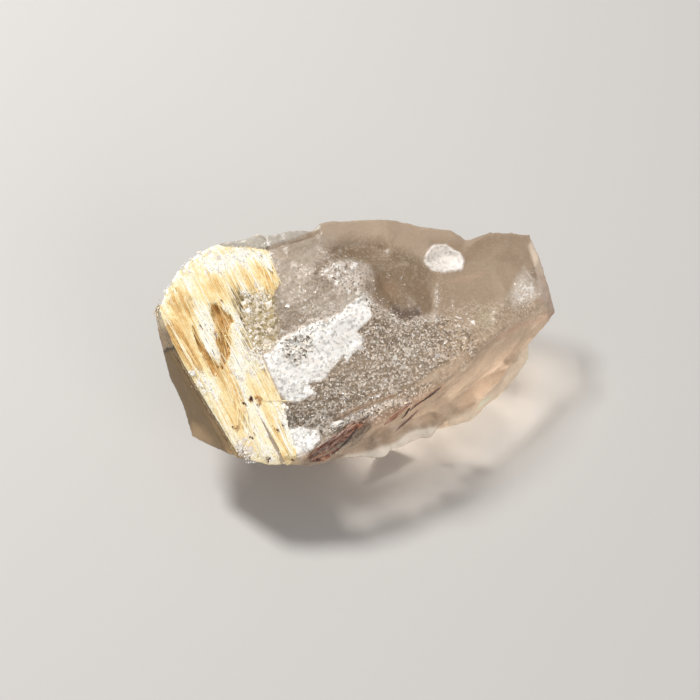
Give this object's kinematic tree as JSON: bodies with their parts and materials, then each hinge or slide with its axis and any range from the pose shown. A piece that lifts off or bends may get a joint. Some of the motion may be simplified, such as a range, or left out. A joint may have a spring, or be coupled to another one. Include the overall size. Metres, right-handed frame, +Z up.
{
  "type": "rutilated quartz",
  "caption": "Rough chunk of clear smoky quartz with a sheaf of golden rutile needles set in one face and a red rutile streak along its front ridge",
  "frame": {"origin": "under the middle of the stone's bounding box, at the height of the flat face that it rests on", "axes": "+Z up; X runs along the stone from the smooth crystal face on the left to the pointed end on the right; the golden face looks up and towards -Y"},
  "size_m": [0.0462, 0.0312, 0.0193],
  "materials": {
    "smoky_quartz": "clear smoky quartz with frosted, sparkling broken faces",
    "golden_rutile": "silky golden needles, cream where they catch the light",
    "red_rutile": "red-brown splintery needles"
  },
  "bodies": {
    "root": {"quartz_crystal": "smoky_quartz", "golden_rutile_sheaf": "golden_rutile", "red_rutile_streak": "red_rutile"}
  },
  "joints": []
}
